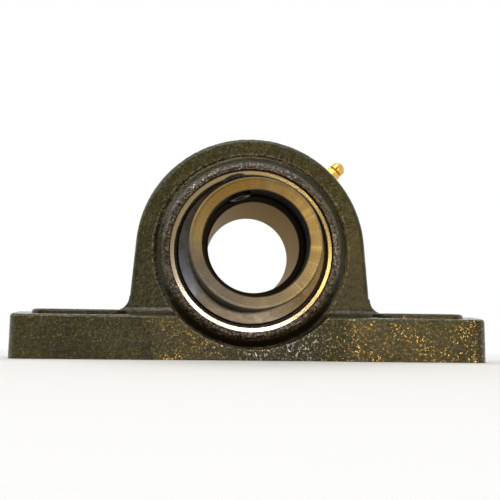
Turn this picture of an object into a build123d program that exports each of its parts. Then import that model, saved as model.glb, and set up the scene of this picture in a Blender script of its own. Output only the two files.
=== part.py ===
from build123d import *
from math import cos, radians, sin, sqrt, tan
import os

# Pillow block bearing in millimetres: a low cast housing, a self-aligning ball bearing
# insert, and an eccentric collar that locks it on its shaft. The shaft axis runs along Y
# and the collar faces -Y. The origin is in the base face, below the bearing's middle.

# Housing casting
SHAFT_HEIGHT = 38.9
BASE_WIDTH = 42.0
FOOT_HEIGHT = 14.8
FOOT_END = 21.2
TOP_DRAFT = 1.2
BASE_CORNER = 4.5
BASE_EDGE = 1.2
WAIST_DEPTH = 3.5
WAIST_LENGTH = 66.0
WAIST_BEND = 20.0
ARCH_WALL = 10.5
ARCH_THICKNESS = 17.0
ARCH_EDGE = 1.8
SIDE_FLARE = 4.5
SIDE_FILLET = 5.0
FACE_FILLET = 3.0
HUB_PROUD = 2.5
HUB_FOOT_WALL = 3.2
HUB_TAPER = 3.3
HUB_EDGE = 1.8
HUB_FILLET = 1.5
POCKET_GAP = 1.1
SEAT_CHAMFER = 0.4
ENTRY_CLEARANCE = 0.3
NIPPLE_HOLE_RUNOUT = 0.4

# Mounting feet
BOLT_SPACING = 121.0
SLOT_WIDTH = 17.0
SLOT_LENGTH = 21.0
PAD_RISE = 2.0
PAD_END_MARGIN = 6.0
PAD_SIDE_MARGIN = 3.5
PAD_CORNER = 6.0
PAD_EDGE = 1.0

# Insert bearing
BORE = 31.75
BORE_CHAMFER = 0.6
INNER_WALL = 3.925
INNER_WIDTH = 36.5
RING_GAP = 6.4
OUTER_WALL = 4.8
OUTER_CHAMFER = 0.3
SEAT_CLEARANCE = 0.05
BALL_RADIUS = 4.7625
BALL_COUNT = 9
BALL_CLEARANCE = 0.02
GROOVE_RELIEF = 0.1875
LUBE_GROOVE_WIDTH = 3.2
LUBE_GROOVE_DEPTH = 0.7
LUBE_HOLE = 1.6
LUBE_OFFSET = 4.7

# Cage
CAGE_WIDTH = 3.2
CAGE_SHEET = 0.8
POCKET_CLEARANCE = 0.15
RIVET_RADIUS = 0.7
RIVET_HEAD_RADIUS = 1.15
RIVET_HEAD_HEIGHT = 0.45
RIVET_CLEARANCE = 0.01

# Seals and flingers
SEAL_CAGE_GAP = 0.3875
SEAL_SEAT_STEP = 1.3
SEAL_SEAT_DEPTH = 3.4
SEAL_FIT = 0.01
SHIELD_SHEET = 0.6
SHIELD_RIM_LENGTH = 1.5
LIP_HEIGHT = 2.68
LIP_CLEARANCE = 0.12
LIP_THICKNESS = 1.1
LIP_EDGE = 0.4
FLINGER_SHEET = 0.7
FLINGER_GAP = 0.14
FLINGER_LIP_GAP = 0.38
FLINGER_SETBACK = 0.2
FLINGER_RIM_LENGTH = 1.35
FLINGER_EDGE = 0.5
FLINGER_FIT = 0.01

# Eccentric lock
NOSE_LENGTH = 5.7
NOSE_STEP = 0.3
ECCENTRICITY = 0.8
NOSE_CLEARANCE = 0.3
COLLAR_GAP = 0.3
COLLAR_WALL = 2.45
COLLAR_BORE_STEP = 1.975
COLLAR_CHAMFER = 0.5
COLLAR_BORE_CHAMFER = 0.3
SCREW_ANGLE = 108.0
SCREW_NOSE_GAP = 1.9
SCREW_FACE_WALL = 2.05
SCREW_RADIUS = 3.95
SCREW_CLEARANCE = 0.05
SCREW_LENGTH = 8.0
SCREW_TIP_GAP = 0.75
SCREW_CUP_DEPTH = 1.3
SCREW_CHAMFER = 0.6
SCREW_SOCKET = 4.0
SCREW_SOCKET_DEPTH = 4.0

# Grease nipple, with heights from the spot face that it sits on
NIPPLE_ANGLE = 45.0
NIPPLE_OFFSET = 2.5
NIPPLE_SHANK_RADIUS = 2.5
NIPPLE_SHANK_LENGTH = 6.0
NIPPLE_CLEARANCE = 0.02
SPOT_FACE_RADIUS = 4.6
SPOT_FACE_DEPTH = 0.6
NIPPLE_HEX = 5.7
NIPPLE_HEX_HEIGHT = 4.0
NIPPLE_NECK_RADIUS = 2.25
NIPPLE_HEAD_RADIUS = 2.8
NIPPLE_HEAD_START = 4.6
NIPPLE_HEAD_END = 7.0
NIPPLE_TIP_RADIUS = 1.5
NIPPLE_HEIGHT = 8.4
NIPPLE_MOUTH_RADIUS = 0.8
NIPPLE_MOUTH_LENGTH = 1.0
NIPPLE_INLET_RADIUS = 0.6
CHECK_BALL_RADIUS = 1.1
CHECK_BALL_CLEARANCE = 0.02
CHANNEL_CLEARANCE = 0.15
SPRING_WIRE_RADIUS = 0.15
SPRING_SIDE_GAP = 0.25
SPRING_TURNS = 7
SPRING_SEAT = 3.0
SPRING_CLEARANCE = 0.03
GREASE_PASSAGE_RADIUS = 1.5

# Radii that follow, from the bore outwards
shoulder_radius = BORE / 2 + INNER_WALL
land_radius = shoulder_radius + RING_GAP
pitch_radius = (shoulder_radius + land_radius) / 2
seal_seat_radius = land_radius + SEAL_SEAT_STEP
sphere_radius = land_radius + OUTER_WALL
seat_radius = sphere_radius + SEAT_CLEARANCE
hub_foot_radius = sphere_radius + HUB_FOOT_WALL
hub_rim_radius = hub_foot_radius - HUB_TAPER
base_pocket_radius = hub_foot_radius + POCKET_GAP
arch_radius = sphere_radius + ARCH_WALL

# Places along the shaft that follow, from the balls towards the ends
ball_pocket = BALL_RADIUS + POCKET_CLEARANCE
seal_seat = ball_pocket + CAGE_SHEET + SEAL_CAGE_GAP
half_outer = seal_seat + SEAL_SEAT_DEPTH
half_inner = INNER_WIDTH / 2
nose_root = half_inner - NOSE_LENGTH
screw_place = half_inner + SCREW_NOSE_GAP + SCREW_RADIUS
collar_face = screw_place + SCREW_RADIUS + SCREW_FACE_WALL
arch_front = ARCH_THICKNESS / 2
hub_front = arch_front + HUB_PROUD
base_front = BASE_WIDTH / 2

# Base sizes that follow
base_length = BOLT_SPACING + 2 * FOOT_END
pad_height = FOOT_HEIGHT + PAD_RISE
root_height = FOOT_HEIGHT + TOP_DRAFT

# Shaft axis, the half-plane that holds the turned pieces' sections as (radius, along
# the shaft), and the two ends that most of the insert's pieces repeat
SHAFT_AXIS = Axis((0, 0, SHAFT_HEIGHT), (0, 1, 0))
SECTION = Plane(origin=(0, 0, SHAFT_HEIGHT), x_dir=(0, 0, 1), z_dir=(-1, 0, 0))
FRONT = Plane(origin=(0, 0, SHAFT_HEIGHT), x_dir=(1, 0, 0), z_dir=(0, -1, 0))
ENDS = (("front", -1), ("rear", 1))


def radial(angle, radius, along):
    """A point at an angle round the shaft axis, counted from +X up to +Z."""
    turn = radians(angle)
    return (radius * cos(turn), along, SHAFT_HEIGHT + radius * sin(turn))


def radial_plane(angle, radius, along):
    """A plane there that faces out from the shaft axis, with its x along Y."""
    turn = radians(angle)
    return Plane(radial(angle, radius, along), x_dir=(0, 1, 0), z_dir=(cos(turn), 0, sin(turn)))


def radial_section(angle, radius, along):
    """A plane there through the radius: x along Y, y out from the shaft axis."""
    turn = radians(angle)
    return Plane(radial(angle, radius, along), x_dir=(0, 1, 0), z_dir=(sin(turn), 0, -cos(turn)))


def save(part, name):
    part.label = name
    export_step(part, f"parts/{name}.step")


os.makedirs("parts", exist_ok=True)

# Base bar: the top falls towards its long edges, and the sides are waisted at the hub
waist_radius = (WAIST_LENGTH**2 / 4 + WAIST_DEPTH**2) / (2 * WAIST_DEPTH)
waist_centre = base_front - WAIST_DEPTH + waist_radius
top_slope = TOP_DRAFT / (base_front - arch_front)
with BuildPart() as base:
    with BuildSketch(Plane.YZ):
        with BuildLine():
            Polyline(
                (-base_front, 0),
                (base_front, 0),
                (base_front, FOOT_HEIGHT),
                (arch_front, root_height),
                (-arch_front, root_height),
                (-base_front, FOOT_HEIGHT),
                close=True,
            )
        make_face()
    extrude(amount=base_length / 2, both=True)
    with BuildSketch(Plane.XY) as base_plan:
        Rectangle(base_length, BASE_WIDTH)
        fillet(base_plan.vertices(), BASE_CORNER)
        with Locations((0, -waist_centre), (0, waist_centre)):
            Circle(waist_radius, mode=Mode.SUBTRACT)
        bends = [v for v in base_plan.vertices() if abs(v.X) < WAIST_LENGTH / 2 + BASE_CORNER]
        fillet(bends, WAIST_BEND)
    extrude(amount=root_height, mode=Mode.INTERSECT)
    top_rim = base.edges().filter_by(
        lambda e: e.center().Z > FOOT_HEIGHT / 2
        and abs(abs(e.center().Y) - arch_front) > 0.01
        and e.bounding_box().size.Z < TOP_DRAFT
    )
    fillet(top_rim, BASE_EDGE)

# Arch: a round head on slightly flared sides, rooted in the base
flare = radians(SIDE_FLARE)
shoulder = (arch_radius * cos(flare), arch_radius * sin(flare))
root_drop = SHAFT_HEIGHT - pad_height
root_half = shoulder[0] + (shoulder[1] + root_drop) * tan(flare)
toe_half = root_half + 2 * SIDE_FILLET
with BuildSketch(FRONT) as arch_outline:
    with BuildLine():
        Polyline(
            shoulder,
            (root_half, -root_drop),
            (toe_half, -root_drop),
            (toe_half, -root_drop - pad_height / 2),
            (-toe_half, -root_drop - pad_height / 2),
            (-toe_half, -root_drop),
            (-root_half, -root_drop),
            (-shoulder[0], shoulder[1]),
        )
        ThreePointArc((-shoulder[0], shoulder[1]), (0, arch_radius), shoulder)
    make_face()
    feet = [v for v in arch_outline.vertices() if abs(abs(v.X) - root_half) < 0.01]
    fillet(feet, SIDE_FILLET)

with BuildPart() as arch:
    extrude(arch_outline.sketch, amount=arch_front, both=True)
    outline = arch.edges().filter_by(
        lambda e: abs(abs(e.center().Y) - arch_front) < 0.01
        and e.center().Z > pad_height + 0.1
    )
    fillet(outline, ARCH_EDGE)

# Fillet where the arch's faces meet the base, as long as the arch's outline allows
with BuildPart() as root:
    with BuildSketch(Plane.YZ) as root_section:
        with BuildLine():
            Polyline(
                (-arch_front - 2 * FACE_FILLET, root_height / 2),
                (arch_front + 2 * FACE_FILLET, root_height / 2),
                (arch_front + 2 * FACE_FILLET, root_height - 2 * FACE_FILLET * top_slope),
                (arch_front, root_height),
                (arch_front, root_height + 2 * FACE_FILLET),
                (-arch_front, root_height + 2 * FACE_FILLET),
                (-arch_front, root_height),
                (-arch_front - 2 * FACE_FILLET, root_height - 2 * FACE_FILLET * top_slope),
                close=True,
            )
        make_face()
        roots = [v for v in root_section.vertices() if abs(v.Y - root_height) < 0.01]
        fillet(roots, FACE_FILLET)
    extrude(amount=toe_half, both=True)
    extrude(arch_outline.sketch, amount=base_front, both=True, mode=Mode.INTERSECT)

# Bolt pad: a low flat boss from the arch's side out round each slot
pad_end = base_length / 2 - PAD_END_MARGIN
pad_places = ((-(root_half + pad_end) / 2, 0), ((root_half + pad_end) / 2, 0))
with BuildPart() as pad:
    with BuildSketch(Plane.XY.offset(FOOT_HEIGHT / 2)):
        RectangleRounded(pad_end - root_half, BASE_WIDTH - 2 * PAD_SIDE_MARGIN, PAD_CORNER)
    extrude(amount=pad_height - FOOT_HEIGHT / 2)
    fillet(pad.faces().sort_by(Axis.Z)[-1].edges(), PAD_EDGE)

# Housing: base, arch, pads and hub in one casting, then its machined seat and holes
hub_skirt = base_pocket_radius + HUB_FILLET
entry_width = 2 * (half_outer + ENTRY_CLEARANCE)
slot_places = ((-BOLT_SPACING / 2, 0), (BOLT_SPACING / 2, 0))
spot_face = arch_radius - SPOT_FACE_DEPTH
nipple_hole_depth = NIPPLE_SHANK_LENGTH + NIPPLE_HOLE_RUNOUT
with BuildPart() as housing:
    add(base.part)
    add(arch.part)
    add(root.part)
    with Locations(*pad_places):
        add(pad.part)
    # Round pockets that clear the hub where it dips into the base
    with BuildSketch(SECTION):
        with Locations(*[(base_pocket_radius / 2, y * (arch_front + base_front) / 2) for y in (-1, 1)]):
            Rectangle(base_pocket_radius, base_front - arch_front)
    revolve(axis=SHAFT_AXIS, mode=Mode.SUBTRACT)
    # Hub: a rounded rim that runs out into the arch's faces
    with BuildSketch(SECTION) as hub_section:
        with BuildLine():
            Polyline(
                (0, -hub_front),
                (hub_rim_radius, -hub_front),
                (hub_foot_radius, -arch_front),
                (hub_skirt, -arch_front),
                (hub_skirt, arch_front),
                (hub_foot_radius, arch_front),
                (hub_rim_radius, hub_front),
                (0, hub_front),
                close=True,
            )
        make_face()
        rims = [v for v in hub_section.vertices() if abs(v.X - hub_rim_radius) < 0.01]
        fillet(rims, HUB_EDGE)
        toes = [v for v in hub_section.vertices() if abs(v.X - hub_foot_radius) < 0.01]
        fillet(toes, HUB_FILLET)
    revolve(axis=SHAFT_AXIS)
    # Spherical seat with chamfered mouths, and the slots at the rear that let the
    # insert in edgeways before it is turned flat
    with Locations((0, 0, SHAFT_HEIGHT)):
        Sphere(seat_radius, mode=Mode.SUBTRACT)
    mouths = housing.edges().filter_by(GeomType.CIRCLE).filter_by(
        lambda e: abs(abs(e.center().Y) - hub_front) < 0.01 and e.radius < sphere_radius
    )
    chamfer(mouths, SEAT_CHAMFER)
    with BuildSketch(FRONT):
        Circle(seat_radius)
        Rectangle(2 * seat_radius, entry_width, mode=Mode.INTERSECT)
    extrude(amount=-hub_front, mode=Mode.SUBTRACT)
    # Slotted bolt holes
    with BuildSketch(Plane.XY):
        with Locations(*slot_places):
            SlotOverall(SLOT_LENGTH, SLOT_WIDTH)
    extrude(amount=pad_height, mode=Mode.SUBTRACT)
    # Spot face, threaded hole and grease passage under the nipple
    with BuildSketch(radial_plane(NIPPLE_ANGLE, spot_face, NIPPLE_OFFSET)):
        Circle(SPOT_FACE_RADIUS)
    extrude(amount=2 * SPOT_FACE_DEPTH, mode=Mode.SUBTRACT)
    with BuildSketch(radial_plane(NIPPLE_ANGLE, spot_face, NIPPLE_OFFSET)):
        Circle(NIPPLE_SHANK_RADIUS + NIPPLE_CLEARANCE)
    extrude(amount=-nipple_hole_depth, mode=Mode.SUBTRACT)
    with BuildSketch(radial_plane(NIPPLE_ANGLE, spot_face, NIPPLE_OFFSET)):
        Circle(GREASE_PASSAGE_RADIUS)
    extrude(amount=land_radius - spot_face, mode=Mode.SUBTRACT)
save(housing.part, "housing")

# Grease nipple: threaded shank, hexagon and domed head round a stepped channel
nipple_section = radial_section(NIPPLE_ANGLE, spot_face, NIPPLE_OFFSET)
nipple_axis = Axis(nipple_section.origin, nipple_section.y_dir)
channel_radius = CHECK_BALL_RADIUS + CHANNEL_CLEARANCE
channel_top = NIPPLE_HEIGHT - NIPPLE_MOUTH_LENGTH - (channel_radius - NIPPLE_MOUTH_RADIUS)
with BuildPart() as grease_nipple:
    with BuildSketch(nipple_section):
        with BuildLine():
            Polyline(
                (0, -NIPPLE_SHANK_LENGTH),
                (NIPPLE_SHANK_RADIUS, -NIPPLE_SHANK_LENGTH),
                (NIPPLE_SHANK_RADIUS, 0),
                (NIPPLE_NECK_RADIUS, 0),
                (NIPPLE_NECK_RADIUS, NIPPLE_HEAD_START),
                (NIPPLE_HEAD_RADIUS, NIPPLE_HEAD_START + NIPPLE_HEAD_RADIUS - NIPPLE_NECK_RADIUS),
                (NIPPLE_HEAD_RADIUS, NIPPLE_HEAD_END),
            )
            RadiusArc(
                (NIPPLE_HEAD_RADIUS, NIPPLE_HEAD_END), (NIPPLE_TIP_RADIUS, NIPPLE_HEIGHT),
                -NIPPLE_HEAD_RADIUS,
            )
            Polyline((NIPPLE_TIP_RADIUS, NIPPLE_HEIGHT), (0, NIPPLE_HEIGHT), (0, -NIPPLE_SHANK_LENGTH))
        make_face()
    revolve(axis=nipple_axis)
    with BuildSketch(radial_plane(NIPPLE_ANGLE, spot_face, NIPPLE_OFFSET)):
        RegularPolygon(NIPPLE_HEX / 2, 6, major_radius=False)
    extrude(amount=NIPPLE_HEX_HEIGHT)
    with BuildSketch(nipple_section):
        with BuildLine():
            Polyline(
                (0, -NIPPLE_SHANK_LENGTH),
                (NIPPLE_INLET_RADIUS, -NIPPLE_SHANK_LENGTH),
                (NIPPLE_INLET_RADIUS, -SPRING_SEAT),
                (channel_radius, -SPRING_SEAT),
                (channel_radius, channel_top),
                (NIPPLE_MOUTH_RADIUS, NIPPLE_HEIGHT - NIPPLE_MOUTH_LENGTH),
                (NIPPLE_MOUTH_RADIUS, NIPPLE_HEIGHT),
                (0, NIPPLE_HEIGHT),
                close=True,
            )
        make_face()
    revolve(axis=nipple_axis, mode=Mode.SUBTRACT)
save(grease_nipple.part, "grease_nipple")

# Check ball, held up against the cone under the nipple's mouth
ball_height = (
    channel_top + channel_radius - (CHECK_BALL_RADIUS + CHECK_BALL_CLEARANCE) * sqrt(2)
)
with BuildPart() as nipple_ball:
    with Locations(radial(NIPPLE_ANGLE, spot_face + ball_height, NIPPLE_OFFSET)):
        Sphere(CHECK_BALL_RADIUS)
save(nipple_ball.part, "nipple_ball")

# Spring between the channel's step and the check ball
spring_radius = channel_radius - SPRING_SIDE_GAP - SPRING_WIRE_RADIUS
spring_reach = CHECK_BALL_RADIUS + SPRING_WIRE_RADIUS + SPRING_CLEARANCE
spring_top = ball_height - sqrt(spring_reach**2 - spring_radius**2)
spring_bottom = SPRING_WIRE_RADIUS + SPRING_CLEARANCE - SPRING_SEAT
spring_length = spring_top - spring_bottom
spring_plane = radial_plane(NIPPLE_ANGLE, spot_face + spring_bottom, NIPPLE_OFFSET)
with BuildPart() as nipple_spring:
    with BuildLine() as coil:
        Helix(
            spring_length / SPRING_TURNS, spring_length, spring_radius,
            center=spring_plane.origin, direction=spring_plane.z_dir,
        )
    with BuildSketch(Plane(coil.line @ 0, z_dir=coil.line % 0)):
        Circle(SPRING_WIRE_RADIUS)
    sweep(path=coil.line, is_frenet=True)
save(nipple_spring.part, "nipple_spring")

# Outer ring: spherical outside with a grease groove, raceway and seal seats inside
groove_radius = BALL_RADIUS + GROOVE_RELIEF
groove_shift = BALL_CLEARANCE - GROOVE_RELIEF
lube_floor = sqrt(sphere_radius**2 - LUBE_OFFSET**2) - LUBE_GROOVE_DEPTH
with BuildPart() as outer_ring:
    with BuildSketch(SECTION):
        Circle(sphere_radius)
        with Locations(((land_radius + sphere_radius) / 2, 0)):
            Rectangle(sphere_radius - land_radius, 2 * half_outer, mode=Mode.INTERSECT)
        with Locations((pitch_radius + groove_shift, 0)):
            Circle(groove_radius, mode=Mode.SUBTRACT)
        with Locations(*[(seal_seat_radius / 2, y * (half_outer + seal_seat) / 2) for y in (-1, 1)]):
            Rectangle(seal_seat_radius, SEAL_SEAT_DEPTH, mode=Mode.SUBTRACT)
        with Locations((lube_floor + LUBE_GROOVE_DEPTH, LUBE_OFFSET)):
            Rectangle(2 * LUBE_GROOVE_DEPTH, LUBE_GROOVE_WIDTH, mode=Mode.SUBTRACT)
    revolve(axis=SHAFT_AXIS)
    ring_rims = outer_ring.edges().filter_by(GeomType.CIRCLE).filter_by(
        lambda e: abs(abs(e.center().Y) - half_outer) < 0.01
    )
    chamfer(ring_rims, OUTER_CHAMFER)
    with BuildSketch(radial_plane(NIPPLE_ANGLE, pitch_radius, LUBE_OFFSET)):
        Circle(LUBE_HOLE / 2)
    extrude(amount=sphere_radius - pitch_radius, mode=Mode.SUBTRACT)
save(outer_ring.part, "outer_ring")

# Inner ring: ground bore, raceway, and the eccentric nose that the collar grips
nose_radius = shoulder_radius - NOSE_STEP - ECCENTRICITY
with BuildPart() as inner_ring:
    with BuildSketch(SECTION):
        with Locations((shoulder_radius / 2, NOSE_LENGTH / 2)):
            Rectangle(shoulder_radius, INNER_WIDTH - NOSE_LENGTH)
        with Locations((pitch_radius - groove_shift, 0)):
            Circle(groove_radius, mode=Mode.SUBTRACT)
    revolve(axis=SHAFT_AXIS)
    with BuildSketch(FRONT.offset(nose_root)):
        with Locations((0, ECCENTRICITY)):
            Circle(nose_radius)
    extrude(amount=NOSE_LENGTH)
    with BuildSketch(SECTION):
        with BuildLine():
            Polyline(
                (0, -half_inner),
                (BORE / 2 + BORE_CHAMFER, -half_inner),
                (BORE / 2, -half_inner + BORE_CHAMFER),
                (BORE / 2, half_inner - BORE_CHAMFER),
                (BORE / 2 + BORE_CHAMFER, half_inner),
                (0, half_inner),
                close=True,
            )
        make_face()
    revolve(axis=SHAFT_AXIS, mode=Mode.SUBTRACT)
save(inner_ring.part, "inner_ring")

# Balls on the pitch circle
ball_step = 360 / BALL_COUNT
ball_angles = [90 + ball_step * index for index in range(BALL_COUNT)]
for number, angle in enumerate(ball_angles, start=1):
    with BuildPart() as ball:
        with Locations(radial(angle, pitch_radius, 0)):
            Sphere(BALL_RADIUS)
    save(ball.part, f"ball_{number}")

# Cage: two pressed rings with a round pocket over each ball, riveted between them
cage_inner = pitch_radius - CAGE_WIDTH / 2
cage_outer = pitch_radius + CAGE_WIDTH / 2
rivet_start = 90 + ball_step / 2
for side, facing in ENDS:
    with BuildPart() as cage_half:
        with BuildSketch(FRONT):
            Circle(cage_outer)
        extrude(amount=-facing * CAGE_SHEET)
        with Locations(*[radial(angle, pitch_radius, 0) for angle in ball_angles]):
            Sphere(ball_pocket + CAGE_SHEET)
        with BuildSketch(FRONT):
            Circle(cage_outer)
            Circle(cage_inner, mode=Mode.SUBTRACT)
        extrude(amount=-facing * (ball_pocket + CAGE_SHEET), mode=Mode.INTERSECT)
        with Locations(*[radial(angle, pitch_radius, 0) for angle in ball_angles]):
            Sphere(ball_pocket, mode=Mode.SUBTRACT)
        with BuildSketch(FRONT):
            with PolarLocations(pitch_radius, BALL_COUNT, start_angle=rivet_start):
                Circle(RIVET_RADIUS + RIVET_CLEARANCE)
        extrude(amount=-facing * CAGE_SHEET, mode=Mode.SUBTRACT)
    save(cage_half.part, f"cage_{side}")

with BuildPart() as cage_rivets:
    with BuildSketch(FRONT):
        with PolarLocations(pitch_radius, BALL_COUNT, start_angle=rivet_start):
            Circle(RIVET_RADIUS)
    extrude(amount=CAGE_SHEET, both=True)
    for side, facing in ENDS:
        with BuildSketch(FRONT.offset(-facing * CAGE_SHEET)):
            with PolarLocations(pitch_radius, BALL_COUNT, start_angle=rivet_start):
                Circle(RIVET_HEAD_RADIUS)
        extrude(amount=-facing * RIVET_HEAD_HEIGHT)
save(cage_rivets.part, "cage_rivets")

# Seals and flingers at both ends, as sections that face away from the balls
shield_outer = seal_seat_radius - SEAL_FIT
shield_back = seal_seat + SEAL_FIT
lip_back = shield_back + LIP_THICKNESS
lip_tip = shoulder_radius + LIP_CLEARANCE
shield_inner = lip_tip + LIP_HEIGHT
flinger_face = half_outer - FLINGER_SETBACK
flinger_bore = shoulder_radius + FLINGER_FIT
flinger_sleeve = flinger_bore + FLINGER_SHEET
flinger_radius = shield_outer - SHIELD_SHEET - FLINGER_GAP
for side, facing in ENDS:
    with BuildPart() as seal_shield:
        with BuildSketch(SECTION):
            with BuildLine():
                Polyline(
                    (shield_inner, facing * shield_back),
                    (shield_outer, facing * shield_back),
                    (shield_outer, facing * (shield_back + SHIELD_RIM_LENGTH)),
                    (shield_outer - SHIELD_SHEET, facing * (shield_back + SHIELD_RIM_LENGTH)),
                    (shield_outer - SHIELD_SHEET, facing * (shield_back + SHIELD_SHEET)),
                    (shield_inner, facing * (shield_back + SHIELD_SHEET)),
                    close=True,
                )
            make_face()
        revolve(axis=SHAFT_AXIS)
    save(seal_shield.part, f"seal_shield_{side}")

    with BuildPart() as seal_lip:
        with BuildSketch(SECTION):
            with BuildLine():
                Polyline(
                    (shield_inner, facing * shield_back),
                    (shield_inner, facing * (shield_back + SHIELD_SHEET)),
                    (lip_tip + LIP_EDGE, facing * lip_back),
                    (lip_tip, facing * lip_back),
                    (lip_tip, facing * (lip_back - LIP_EDGE)),
                    (lip_tip + 2 * LIP_EDGE, facing * shield_back),
                    close=True,
                )
            make_face()
        revolve(axis=SHAFT_AXIS)
    save(seal_lip.part, f"seal_lip_{side}")

    with BuildPart() as flinger:
        with BuildSketch(SECTION) as flinger_profile:
            with BuildLine():
                Polyline(
                    (flinger_bore, facing * (lip_back + FLINGER_LIP_GAP)),
                    (flinger_sleeve, facing * (lip_back + FLINGER_LIP_GAP)),
                    (flinger_sleeve, facing * (flinger_face - FLINGER_SHEET)),
                    (flinger_radius - FLINGER_SHEET, facing * (flinger_face - FLINGER_SHEET)),
                    (flinger_radius - FLINGER_SHEET, facing * (flinger_face - FLINGER_RIM_LENGTH)),
                    (flinger_radius, facing * (flinger_face - FLINGER_RIM_LENGTH)),
                    (flinger_radius, facing * flinger_face),
                    (flinger_bore, facing * flinger_face),
                    close=True,
                )
            make_face()
            lip = flinger_profile.vertices().sort_by(lambda v: v.X + abs(v.Y))[-1]
            fillet(lip, FLINGER_EDGE)
        revolve(axis=SHAFT_AXIS)
    save(flinger.part, f"flinger_{side}")

# Locking collar: bored through, with an eccentric recess over the nose
collar_back = nose_root + COLLAR_GAP
recess_radius = nose_radius + NOSE_CLEARANCE
collar_radius = recess_radius + ECCENTRICITY + COLLAR_WALL
collar_bore = BORE / 2 + COLLAR_BORE_STEP
with BuildPart() as locking_collar:
    with BuildSketch(FRONT.offset(collar_back)):
        Circle(collar_radius)
        Circle(collar_bore, mode=Mode.SUBTRACT)
    extrude(amount=collar_face - collar_back)
    outer_rims = locking_collar.edges().filter_by(GeomType.CIRCLE).filter_by(
        lambda e: abs(e.radius - collar_radius) < 0.01
    )
    chamfer(outer_rims, COLLAR_CHAMFER)
    mouth = locking_collar.edges().filter_by(GeomType.CIRCLE).filter_by(
        lambda e: abs(e.radius - collar_bore) < 0.01 and abs(e.center().Y + collar_face) < 0.01
    )
    chamfer(mouth, COLLAR_BORE_CHAMFER)
    with BuildSketch(FRONT.offset(collar_back)):
        with Locations((0, ECCENTRICITY)):
            Circle(recess_radius)
    extrude(amount=NOSE_LENGTH, mode=Mode.SUBTRACT)
    with BuildSketch(radial_plane(SCREW_ANGLE, BORE / 2, -screw_place)):
        Circle(SCREW_RADIUS + SCREW_CLEARANCE)
    extrude(amount=collar_radius - BORE / 2 + 1, mode=Mode.SUBTRACT)
save(locking_collar.part, "locking_collar")

# Set screw: cup point, hexagon socket, standing a little out of the collar
screw_tip = BORE / 2 + SCREW_TIP_GAP
with BuildPart() as collar_set_screw:
    with BuildSketch(radial_plane(SCREW_ANGLE, screw_tip, -screw_place)):
        Circle(SCREW_RADIUS)
    extrude(amount=SCREW_LENGTH)
    chamfer(collar_set_screw.edges().filter_by(GeomType.CIRCLE), SCREW_CHAMFER)
    with BuildSketch(radial_plane(SCREW_ANGLE, screw_tip + SCREW_LENGTH, -screw_place)):
        RegularPolygon(SCREW_SOCKET / 2, 6, major_radius=False)
    extrude(amount=-SCREW_SOCKET_DEPTH, mode=Mode.SUBTRACT)
    with BuildSketch(radial_section(SCREW_ANGLE, screw_tip, -screw_place)):
        Polygon((0, 0), (2 * SCREW_CUP_DEPTH, 0), (0, SCREW_CUP_DEPTH), align=None)
    revolve(axis=Axis(radial(SCREW_ANGLE, screw_tip, -screw_place), radial_plane(SCREW_ANGLE, 0, 0).z_dir),
            mode=Mode.SUBTRACT)
save(collar_set_screw.part, "collar_set_screw")
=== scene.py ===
from math import cos, pi, radians, sin
import bpy
from mathutils import Matrix, Vector

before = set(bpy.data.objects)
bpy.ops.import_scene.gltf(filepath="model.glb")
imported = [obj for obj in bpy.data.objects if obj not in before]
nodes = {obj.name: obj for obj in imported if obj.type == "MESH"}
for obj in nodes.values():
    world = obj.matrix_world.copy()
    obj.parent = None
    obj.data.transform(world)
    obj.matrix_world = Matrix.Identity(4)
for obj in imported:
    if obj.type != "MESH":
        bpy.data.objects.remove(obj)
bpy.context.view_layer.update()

# Directions and places in the frame, in metres and radians. The shaft lies along Y, and
# the photographer stands on the side of -Y.
X, Y, Z = (1, 0, 0), (0, 1, 0), (0, 0, 1)
SHAFT_Z = 0.0389
SHAFT = (0, 0, SHAFT_Z)
NIPPLE_AXIS = (cos(radians(45)), 0, sin(radians(45)))
SCREW_AXIS = (cos(radians(108)), 0, sin(radians(108)))

# Housing: depths are counted from the middle of its width, radii from the shaft
ARCH_DEPTH = 0.0083
BEAD_RADIUS = 0.0324
SLOPE_RADIUS = 0.0354
CREST_RADIUS = 0.0359
SEAT_RADIUS = 0.03105
FOOT_DEPTH = 0.0155
FOOT_TOP = 0.0165

# Insert and collar: radii from the shaft, and the depth of the inner ring's ends. The
# lapped face has its inner and outer radius.
BORE_RADIUS = 0.0159
INNER_RING_RADIUS = 0.0190
INNER_RING_DEPTH = 0.0178
LAPPED_FACE = (0.0273, 0.0295)
SHIELD_RIM_RADIUS = 0.0262
FLINGER_RIM_RADIUS = 0.0259
COLLAR_WALL_RADIUS = 0.0196

# Thread's pitch in metres, and the nipple's tool marks in a metre
SCREW_PITCH = 0.00125
NIPPLE_MARKS = 9000

# Camera: its place in metres and its lens in millimetres, for a 36 mm sensor
CAMERA_PLACE = (-0.0194, -0.2668, 0.0070)
LENS = 52.27

# Stage and light: lengths in metres, turn in degrees, strengths where 1 is white
STAGE_REACH = 1.2
CURTAIN_HEIGHT = 0.8
CURTAIN_TURN = 75
CURTAIN_STEPS = 24
SKY_ON_OBJECT = 0.45
SKY_SEEN = 1.0
COOL = (0.93, 0.91, 1.0)
GOLD = (1.0, 0.74, 0.3)


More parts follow.
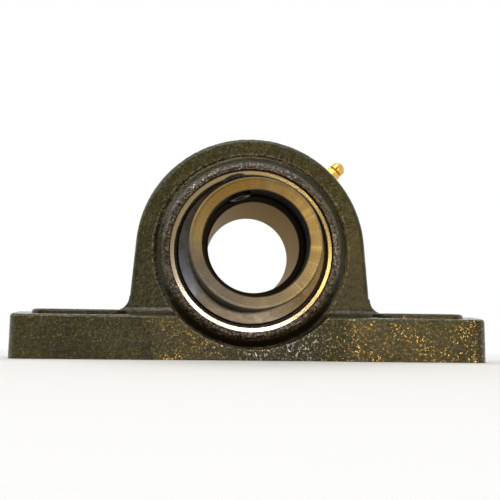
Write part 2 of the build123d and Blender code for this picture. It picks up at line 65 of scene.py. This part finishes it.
class Graph:
    """A node tree. Most methods add a node and return the output to use next."""

    def __init__(self, tree):
        self.tree = tree

    def plug(self, socket, value):
        """Links an output to an input, or gives the input a plain value."""
        if isinstance(value, bpy.types.NodeSocket):
            self.tree.links.new(value, socket)
        else:
            socket.default_value = value

    def add(self, kind, inputs=(), out=0, **settings):
        node = self.tree.nodes.new("ShaderNode" + kind)
        for name, value in settings.items():
            setattr(node, name, value)
        for socket, value in dict(inputs).items():
            self.plug(node.inputs[socket], value)
        return node.outputs[out]

    def math(self, operation, *values):
        return self.add("Math", dict(enumerate(values)), operation=operation)

    def vector(self, operation, *values, out=0):
        return self.add("VectorMath", dict(enumerate(values)), out, operation=operation)

    def times(self, product, *factors):
        for factor in factors:
            product = self.math("MULTIPLY", product, factor)
        return product

    def most(self, largest, *others):
        for other in others:
            largest = self.math("MAXIMUM", largest, other)
        return largest


class Look(Graph):
    """A material, with its patterns fixed to the object that wears it."""

    def __init__(self, name, **shader):
        self.material = bpy.data.materials.new(name)
        self.material.use_nodes = True
        super().__init__(self.material.node_tree)
        self.shader = self.tree.nodes["Principled BSDF"]
        for socket, value in shader.items():
            self.set(socket.replace("_", " "), value)
        self.place = self.add("TexCoord", out="Object")

    def set(self, socket, value):
        self.plug(self.shader.inputs[socket], value)

    def axis(self, direction):
        """How far along a direction each point lies."""
        return self.vector("DOT_PRODUCT", self.place, direction, out="Value")

    def depth(self):
        """How far in front of or behind the middle of the housing each point lies."""
        return self.math("ABSOLUTE", self.axis(Y))

    def radius(self, centre=SHAFT, across=(1, 0, 1)):
        """Each point's distance from a centre, counted only along the axes given."""
        from_centre = self.vector("SUBTRACT", self.place, centre)
        return self.vector("LENGTH", self.vector("MULTIPLY", from_centre, across), out="Value")

    def noise(self, scale, detail=2.0, roughness=0.5, vector=None):
        """A 0 to 1 noise, with its scale in waves to the metre."""
        return self.add("TexNoise", {
            "Vector": vector or self.place, "Scale": scale, "Detail": detail, "Roughness": roughness,
        })

    def rings(self, pitch, wander=0.3):
        """Turning marks: fine rings round the shaft, a pitch apart and uneven."""
        wobble = self.times(self.noise(60), wander * pitch)
        course = self.add("CombineXYZ", {0: self.radius(), 1: self.axis(Y), 2: wobble})
        return self.noise(1 / pitch, detail=3.0, roughness=0.6, vector=course)

    def span(self, value, low, high, start=0.0, end=1.0):
        """Turns low to high into start to end, smoothly, and holds the ends."""
        return self.add("MapRange", {
            "Value": value, "From Min": low, "From Max": high, "To Min": start, "To Max": end,
        }, interpolation_type="SMOOTHSTEP")

    def band(self, value, low, rise, high, fall):
        """Goes from 0 at low to 1 over a rise, and back to 0 at high over a fall."""
        return self.times(self.span(value, low, low + rise), self.span(value, high, high - fall))

    def blend(self, share, first, second):
        """The first colour where the share is 0, and the second where it is 1."""
        node = self.tree.nodes.new("ShaderNodeMix")
        node.data_type = "RGBA"
        for index, value in ((0, share), (6, first), (7, second)):
            self.plug(node.inputs[index], value)
        return node.outputs[2]

    def bump(self, height, depth, below=None):
        """Relief of a 0 to 1 height over a depth in metres, on top of another relief."""
        inputs = {"Height": height, "Distance": depth, "Strength": 1.0}
        if below:
            inputs["Normal"] = below
        return self.add("Bump", inputs)

    def paint(self, *names):
        for name in names:
            materials = nodes[name].data.materials
            materials.clear()
            materials.append(self.material)


def flake_cover(enamel, bead, slope):
    """Metal flakes in the enamel, which mirror the lamps: on the base's front and back, fewer on
    its left foot, and on the hub's bead, with hardly any elsewhere. Their share follows where
    highlights fall, so they are partly painted highlights."""
    fine = enamel.span(enamel.noise(1300, roughness=0.7), 0.57, 0.64)
    patches = enamel.span(enamel.noise(90, detail=3), 0.35, 0.6, 0.4, 1)
    # Painted highlights: fewer flakes on the left foot, where fewer highlights fall
    off_left_foot = enamel.span(enamel.axis(X), -0.045, -0.025, 0.3, 1)
    below_top = enamel.span(enamel.axis(Z), FOOT_TOP, FOOT_TOP - 0.002)
    base_face = enamel.times(below_top, enamel.span(enamel.depth(), FOOT_DEPTH, FOOT_DEPTH + 0.001))
    amount = enamel.math("ADD", enamel.span(base_face, 0, 1, 0.12, 1), enamel.times(bead, 0.6))
    off_slope = enamel.math("SUBTRACT", 1.0, slope)
    return enamel.times(fine, patches, off_left_foot, amount, off_slope)


def machined_faces(enamel):
    """1 on the spherical seat and on the underside, which carry no enamel, and 0 elsewhere."""
    from_centre = enamel.radius(SHAFT, (1, 1, 1))
    seat = enamel.span(from_centre, SEAT_RADIUS + 0.0002, SEAT_RADIUS + 0.0001)
    underside = enamel.span(enamel.axis(Z), 0.00008, 0.00002)
    return enamel.most(seat, underside)


def paint_housing():
    """Olive enamel on a rough sand casting, brown on the hub's bead, near black on the slope
    round it as painted shade, and pale on the crest beyond that as a painted highlight."""
    enamel = Look("cast_enamel", IOR=1.5, Specular_IOR_Level=0.4)
    lumps = enamel.noise(330)
    grit = enamel.noise(900, detail=3, roughness=0.6)
    reach = enamel.radius()
    off_arch = enamel.span(enamel.depth(), ARCH_DEPTH, ARCH_DEPTH + 0.0001)
    on_hub = enamel.span(enamel.depth(), ARCH_DEPTH + 0.0003, ARCH_DEPTH + 0.0009)
    bead = enamel.times(on_hub, enamel.span(reach, BEAD_RADIUS, BEAD_RADIUS - 0.0008))
    # Painted shade: the slope round the hub's bead is coloured near black, helped by more metal towards
    # its top
    slope_ring = enamel.band(reach, BEAD_RADIUS - 0.0004, 0.0007, SLOPE_RADIUS, 0.0004)
    slope = enamel.times(slope_ring, off_arch)
    # Painted highlight: a pale broken line along the crest beyond the slope
    crest_ring = enamel.band(reach, SLOPE_RADIUS - 0.0003, 0.0003, CREST_RADIUS, 0.0003)
    crest_highlight = enamel.times(crest_ring, off_arch, enamel.span(grit, 0.42, 0.6))
    flakes = flake_cover(enamel, bead, slope)
    bare = machined_faces(enamel)

    clouds = enamel.span(enamel.noise(45, detail=3), 0.35, 0.65)
    olive = enamel.blend(clouds, (0.034, 0.031, 0.006, 1), (0.058, 0.052, 0.011, 1))
    olive = enamel.blend(enamel.span(grit, 0.42, 0.62, 0.5, 0), olive, (0.014, 0.013, 0.002, 1))
    rust = enamel.span(enamel.noise(700, detail=3), 0.42, 0.62)
    brown = enamel.blend(rust, (0.03, 0.02, 0.008, 1), (0.11, 0.08, 0.045, 1))
    colour = enamel.blend(bead, olive, brown)
    # Painted highlight on the crest, then painted shade on the slope
    colour = enamel.blend(crest_highlight, colour, (0.16, 0.145, 0.1, 1))
    colour = enamel.blend(enamel.times(slope, 0.92), colour, (0.045, 0.04, 0.025, 1))
    # Painted reflection: flakes near the middle of the base and on the bead are tinted silver, after the
    # white lamps mirrored there
    off_middle = enamel.math("ABSOLUTE", enamel.math("SUBTRACT", enamel.axis(X), 0.006))
    silver_highlight = enamel.most(enamel.span(off_middle, 0.022, 0.01), bead)
    flake = enamel.blend(silver_highlight, (0.44, 0.32, 0.12, 1), (0.6, 0.6, 0.64, 1))
    colour = enamel.blend(flakes, colour, flake)
    iron = enamel.blend(enamel.noise(500, detail=3), (0.3, 0.29, 0.28, 1), (0.46, 0.45, 0.43, 1))
    enamel.set("Base Color", enamel.blend(bare, colour, iron))

    # More metal towards the top of the slope, part of its painted shade
    slope_sheen = enamel.times(slope, enamel.span(enamel.axis(Z), SHAFT_Z - 0.02, SHAFT_Z, 0.6, 1))
    enamel.set("Metallic", enamel.most(bare, slope_sheen, flakes))
    enamel.set("Roughness", enamel.span(grit, 0.3, 0.7, 0.1, 0.22))
    cast = enamel.math("SUBTRACT", 1.0, bare)
    coarse = enamel.bump(enamel.times(lumps, cast), 0.00045)
    enamel.set("Normal", enamel.bump(enamel.times(grit, cast), 0.00022, coarse))
    enamel.paint("housing")


def paint_rings():
    """Ground bearing steel: a lapped bright face on the outer ring, palest at the upper left as
    a painted highlight, and on the inner ring a dull bore and near black ends as painted shade."""
    ground = Look("ground_steel", Metallic=1.0, Specular_Tint=(0.72, 0.58, 0.42, 1))
    reach = ground.radius()
    inner, outer = LAPPED_FACE
    lapped = ground.band(reach, inner, 0.0004, outer, 0.0003)
    # Painted highlight: the lapped face is coloured palest towards the upper left
    upper_left_highlight = ground.span(ground.axis((-0.707, 0, 0.707)), 0.0175, 0.0425)
    bright = ground.blend(upper_left_highlight, (0.55, 0.49, 0.35, 1), (0.98, 0.88, 0.66, 1))
    steel = ground.blend(lapped, (0.2, 0.17, 0.13, 1), bright)
    dull = ground.span(reach, INNER_RING_RADIUS, INNER_RING_RADIUS - 0.0003)
    steel = ground.blend(dull, steel, (0.1, 0.075, 0.045, 1))
    # Painted shade: the inner ring's ends are coloured near black
    at_end = ground.span(ground.depth(), INNER_RING_DEPTH, INNER_RING_DEPTH + 0.0003)
    shaded_end_face = ground.times(at_end, ground.span(reach, BORE_RADIUS, BORE_RADIUS + 0.0001))
    ground.set("Base Color", ground.blend(shaded_end_face, steel, (0.02, 0.015, 0.01, 1)))
    marks = ground.rings(0.00012)
    polish = ground.span(marks, 0.3, 0.7, 0.12, 0.2)
    ground.set("Roughness", ground.math("ADD", polish, ground.times(dull, 0.25)))
    ground.set("Normal", ground.bump(marks, 0.000004))
    ground.paint("outer_ring", "inner_ring")


def collar_face(collar):
    """Tan turned steel with painted highlights, streaks out from the shaft and gold at the upper
    left, and painted shade, grey at the bottom."""
    from_shaft = collar.vector("MULTIPLY", collar.vector("SUBTRACT", collar.place, SHAFT), (1, 0, 1))
    compass = collar.vector("NORMALIZE", from_shaft)
    stain = collar.span(collar.noise(120, detail=4), 0.3, 0.7)
    face = collar.blend(stain, (0.22, 0.165, 0.085, 1), (0.3, 0.24, 0.14, 1))
    # Painted highlights: bright streaks out from the shaft
    streak_highlights = collar.span(collar.noise(5, detail=5, roughness=0.7, vector=compass), 0.5, 0.72)
    face = collar.blend(streak_highlights, face, (0.5, 0.38, 0.17, 1))
    # Painted highlight: gold towards the upper left
    upper_left_highlight = collar.vector("DOT_PRODUCT", compass, (-0.7, 0, 0.7), out="Value")
    face = collar.blend(collar.span(upper_left_highlight, 0.5, 1, 0, 0.7), face, (0.42, 0.28, 0.08, 1))
    # Painted shade: grey towards the bottom
    downward_shade = collar.vector("DOT_PRODUCT", compass, (-0.3, 0, -0.95), out="Value")
    return collar.blend(collar.span(downward_shade, 0.1, 0.9, 0, 0.8), face, (0.1, 0.09, 0.075, 1))


def paint_collar():
    """A turned face, with the sides dark and the bore darker still as painted shade."""
    collar = Look("turned_collar", Metallic=1.0, Anisotropic=0.55)
    facing = collar.add("SeparateXYZ", {0: collar.add("TexCoord", out="Normal")}, "Y")
    faced = collar.span(collar.math("ABSOLUTE", facing), 0.5, 0.9)
    # Painted shade: the bore is coloured darker still than the sides
    inside = collar.span(collar.radius(), COLLAR_WALL_RADIUS, COLLAR_WALL_RADIUS - 0.0016)
    sides = collar.blend(inside, (0.03, 0.026, 0.022, 1), (0.009, 0.007, 0.005, 1))
    collar.set("Base Color", collar.blend(faced, sides, collar_face(collar)))
    marks = collar.rings(0.0003)
    rough = collar.math("ADD", collar.span(marks, 0.3, 0.7, 0.22, 0.34), collar.span(faced, 1, 0, 0, 0.2))
    rough_inside = collar.times(inside, collar.span(faced, 1, 0, 0, 0.4))
    collar.set("Roughness", collar.math("ADD", rough, rough_inside))
    collar.set("Normal", collar.bump(marks, 0.00001))
    collar.set("Tangent", collar.add("Tangent", direction_type="RADIAL", axis="Y"))
    collar.paint("locking_collar")


def paint_flingers():
    """Dark zinc on pressed sheet, bluer at the left as a painted reflection, and near black round
    the rim as painted shade.
    """
    zinc = Look("zinc_sheet", Metallic=1.0)
    spangle = zinc.noise(400, detail=3)
    plated = zinc.blend(spangle, (0.085, 0.068, 0.042, 1), (0.125, 0.1, 0.066, 1))
    # Painted reflection: bluer towards the left
    leftward_reflection = zinc.span(zinc.axis(X), -0.016, -0.024)
    plated = zinc.blend(leftward_reflection, plated, (0.17, 0.18, 0.19, 1))
    # Painted shade: near black round the rim
    rim_shade = zinc.span(zinc.radius(), FLINGER_RIM_RADIUS, FLINGER_RIM_RADIUS + 0.0005)
    zinc.set("Base Color", zinc.blend(rim_shade, plated, (0.015, 0.012, 0.009, 1)))
    zinc.set("Roughness", zinc.span(spangle, 0.3, 0.7, 0.14, 0.22))
    zinc.set("Normal", zinc.bump(zinc.rings(0.0004), 0.000006))
    zinc.paint("flinger_front", "flinger_rear")


def paint_set_screw():
    """Scuffed black oxide, with the thread as relief."""
    black = Look("black_oxide", Metallic=0.85)
    scuffs = black.noise(900, detail=3)
    worn = black.span(scuffs, 0.5, 0.8)
    black.set("Base Color", black.blend(worn, (0.014, 0.012, 0.01, 1), (0.05, 0.044, 0.038, 1)))
    black.set("Roughness", black.span(scuffs, 0.3, 0.8, 0.42, 0.6))
    thread = black.math("SINE", black.times(black.axis(SCREW_AXIS), 2 * pi / SCREW_PITCH))
    black.set("Normal", black.bump(black.span(thread, -1, 1), 0.00015))
    black.paint("collar_set_screw")


def paint_nipple():
    """Turned brass, tarnished in spots."""
    brass = Look("turned_brass", Metallic=1.0)
    tarnish = brass.noise(420, detail=4)
    spots = brass.span(tarnish, 0.5, 0.75)
    brass.set("Base Color", brass.blend(spots, (0.74, 0.48, 0.12, 1), (0.45, 0.25, 0.05, 1)))
    brass.set("Roughness", brass.span(tarnish, 0.3, 0.8, 0.18, 0.4))
    course = brass.add("CombineXYZ", {0: brass.times(brass.axis(NIPPLE_AXIS), NIPPLE_MARKS)})
    brass.set("Normal", brass.bump(brass.noise(1, vector=course), 0.00001))
    brass.paint("grease_nipple")


def paint_balls():
    """Polished steel, for the balls in the races and in the nipple."""
    bright = Look("ball_steel", Metallic=1.0, Base_Color=(0.8, 0.8, 0.8, 1))
    bright.set("Roughness", bright.span(bright.noise(1500, detail=3), 0.3, 0.8, 0.05, 0.12))
    bright.paint("nipple_ball", *[f"ball_{number}" for number in range(1, 10)])


def paint_inner_sheet():
    """Pale pressed sheet and wire inside the insert and nipple, dark at the shields' rims as
    painted shade.
    """
    sheet = Look("pressed_steel", Metallic=1.0)
    grain = sheet.noise(700, detail=4)
    pale_sheet = sheet.blend(grain, (0.42, 0.4, 0.37, 1), (0.58, 0.56, 0.52, 1))
    # Painted shade: dark round the shields' rims
    rim_shade = sheet.span(sheet.radius(), SHIELD_RIM_RADIUS, SHIELD_RIM_RADIUS + 0.0004)
    sheet.set("Base Color", sheet.blend(rim_shade, pale_sheet, (0.03, 0.025, 0.02, 1)))
    sheet.set("Roughness", sheet.span(grain, 0.3, 0.7, 0.25, 0.4))
    sheet.set("Normal", sheet.bump(grain, 0.00001))
    sheet.paint("seal_shield_front", "seal_shield_rear", "nipple_spring")
    sheet.paint("cage_front", "cage_rear", "cage_rivets")


def paint_seal_lips():
    """Black moulded rubber."""
    rubber = Look("seal_rubber", Specular_IOR_Level=0.4)
    skin = rubber.noise(1400, detail=3)
    rubber.set("Base Color", rubber.blend(skin, (0.012, 0.012, 0.012, 1), (0.03, 0.03, 0.03, 1)))
    rubber.set("Roughness", rubber.span(skin, 0.3, 0.7, 0.55, 0.75))
    rubber.set("Normal", rubber.bump(skin, 0.00002))
    rubber.paint("seal_lip_front", "seal_lip_rear")


def place_camera():
    """Low and to the left of the shaft, and tilted up a little."""
    yaw, pitch, roll = radians(4.17), radians(7.06), radians(0.66)
    forward = Vector((sin(yaw) * cos(pitch), cos(yaw) * cos(pitch), sin(pitch)))
    level = Vector((cos(yaw), -sin(yaw), 0))
    upward = level.cross(forward)
    right = level * cos(roll) + upward * sin(roll)
    top = upward * cos(roll) - level * sin(roll)
    camera = bpy.data.objects.new("camera", bpy.data.cameras.new("camera"))
    camera.data.sensor_width = 36
    camera.data.lens = LENS
    camera.data.clip_start = 0.01
    turned = Matrix((right, top, -forward)).transposed().to_4x4()
    camera.matrix_world = Matrix.Translation(CAMERA_PLACE) @ turned
    bpy.context.scene.collection.objects.link(camera)
    bpy.context.scene.camera = camera


def softbox(name, azimuth, elevation, distance, size, power, colour):
    """An area lamp aimed at the bearing. Azimuth is counted from -Y towards +X."""
    lamp = bpy.data.lights.new(name, "AREA")
    lamp.shape = "RECTANGLE"
    lamp.size, lamp.size_y = size
    lamp.energy = power
    lamp.color = colour
    turn, rise = radians(azimuth), radians(elevation)
    out = Vector((sin(turn) * cos(rise), -cos(turn) * cos(rise), sin(rise)))
    holder = bpy.data.objects.new(name, lamp)
    holder.location = Vector(SHAFT) + out * distance
    holder.rotation_euler = out.to_track_quat("Z", "Y").to_euler()
    bpy.context.scene.collection.objects.link(holder)


def glints(name, side, colour, lamps):
    """Small lamps near the front, each an azimuth, an elevation and a power, that the
    steel and the enamel mirror as highlights."""
    for number, (azimuth, elevation, power) in enumerate(lamps, start=1):
        softbox(f"{name}_{number}", azimuth, elevation, 0.9, (side, side), power, colour)


def light_sky():
    """Even light on the object, and a white backdrop where it is seen or mirrored."""
    world = bpy.data.worlds.new("studio")
    bpy.context.scene.world = world
    world.use_nodes = True
    sky = Graph(world.node_tree)
    rays = ("Is Camera Ray", "Is Glossy Ray", "Is Transmission Ray")
    seen = sky.most(*[sky.add("LightPath", out=ray) for ray in rays])
    strength = sky.add("MapRange", {"Value": seen, "To Min": SKY_ON_OBJECT, "To Max": SKY_SEEN})
    background = world.node_tree.nodes["Background"]
    sky.plug(background.inputs["Strength"], strength)
    sky.plug(background.inputs["Color"], (1, 1, 1, 1))


def add_sheet(name, corners, faces, look):
    """A bare sheet of the stage, in one material."""
    mesh = bpy.data.meshes.new(name)
    mesh.from_pydata(corners, [], faces)
    mesh.materials.append(look.material)
    sheet = bpy.data.objects.new(name, mesh)
    bpy.context.scene.collection.objects.link(sheet)
    return sheet


def add_curtain():
    """A curtain round the photographer's side, dim on the left and tan on the right, which
    the steel mirrors and the camera doesn't see."""
    cloth = Look("curtain", Roughness=1.0, Base_Color=(0.02, 0.02, 0.02, 1), Emission_Strength=1.0)
    across = cloth.span(cloth.axis(X), -0.15, 0.35)
    cloth.set("Emission Color", cloth.blend(across, (0.17, 0.13, 0.085, 1), (0.45, 0.33, 0.14, 1)))
    shares = [2 * step / CURTAIN_STEPS - 1 for step in range(CURTAIN_STEPS + 1)]
    turns = [radians(CURTAIN_TURN * share) for share in shares]
    corners = [
        (STAGE_REACH * sin(turn), -STAGE_REACH * cos(turn), height)
        for height in (0, CURTAIN_HEIGHT) for turn in turns
    ]
    row = CURTAIN_STEPS + 1
    strips = [(step, step + 1, row + step + 1, row + step) for step in range(CURTAIN_STEPS)]
    sheet = add_sheet("curtain", corners, strips, cloth)
    sheet.visible_camera = False
    return sheet


def add_floor():
    """A pale floor that fades out into the white backdrop round it."""
    pale = Look("pale_floor", Roughness=0.9, Base_Color=(0.93, 0.93, 0.93, 1))
    fade = pale.span(pale.radius((0, 0, 0), (1, 1, 0)), 0.1, 0.3)
    clear = pale.add("BsdfTransparent")
    shown = pale.add("MixShader", {0: fade, 1: pale.shader.outputs[0], 2: clear})
    pale.plug(pale.tree.nodes["Material Output"].inputs["Surface"], shown)
    corners = [
        (-STAGE_REACH, -STAGE_REACH, 0), (STAGE_REACH, -STAGE_REACH, 0),
        (STAGE_REACH, STAGE_REACH, 0), (-STAGE_REACH, STAGE_REACH, 0),
    ]
    return add_sheet("floor", corners, [(0, 1, 2, 3)], pale)


paint_housing()
paint_rings()
paint_collar()
paint_flingers()
paint_set_screw()
paint_nipple()
paint_balls()
paint_inner_sheet()
paint_seal_lips()

place_camera()
bpy.context.scene.view_settings.view_transform = "Standard"

softbox("key", -5, 55, 0.9, (0.7, 0.5), 3.2, (1.0, 0.98, 0.94))
softbox("back", 180, 45, 1.0, (0.8, 0.5), 3.0, (1.0, 1.0, 1.0))
softbox("left", -80, 35, 1.0, (0.5, 0.5), 1.2, (0.96, 0.98, 1.0))
glints("cool", 0.04, COOL, [(-1, 1, 0.06), (3.5, 0, 0.07), (6.5, -1, 0.07)])
glints("gold", 0.035, GOLD, [
    (11, 5, 0.03), (13, 15, 0.06), (15, 1, 0.14), (17.5, 4, 0.14),
    (20, 0.5, 0.16), (23, 5, 0.16), (27, 12, 0.12),
])
light_sky()

curtain = add_curtain()
floor = add_floor()
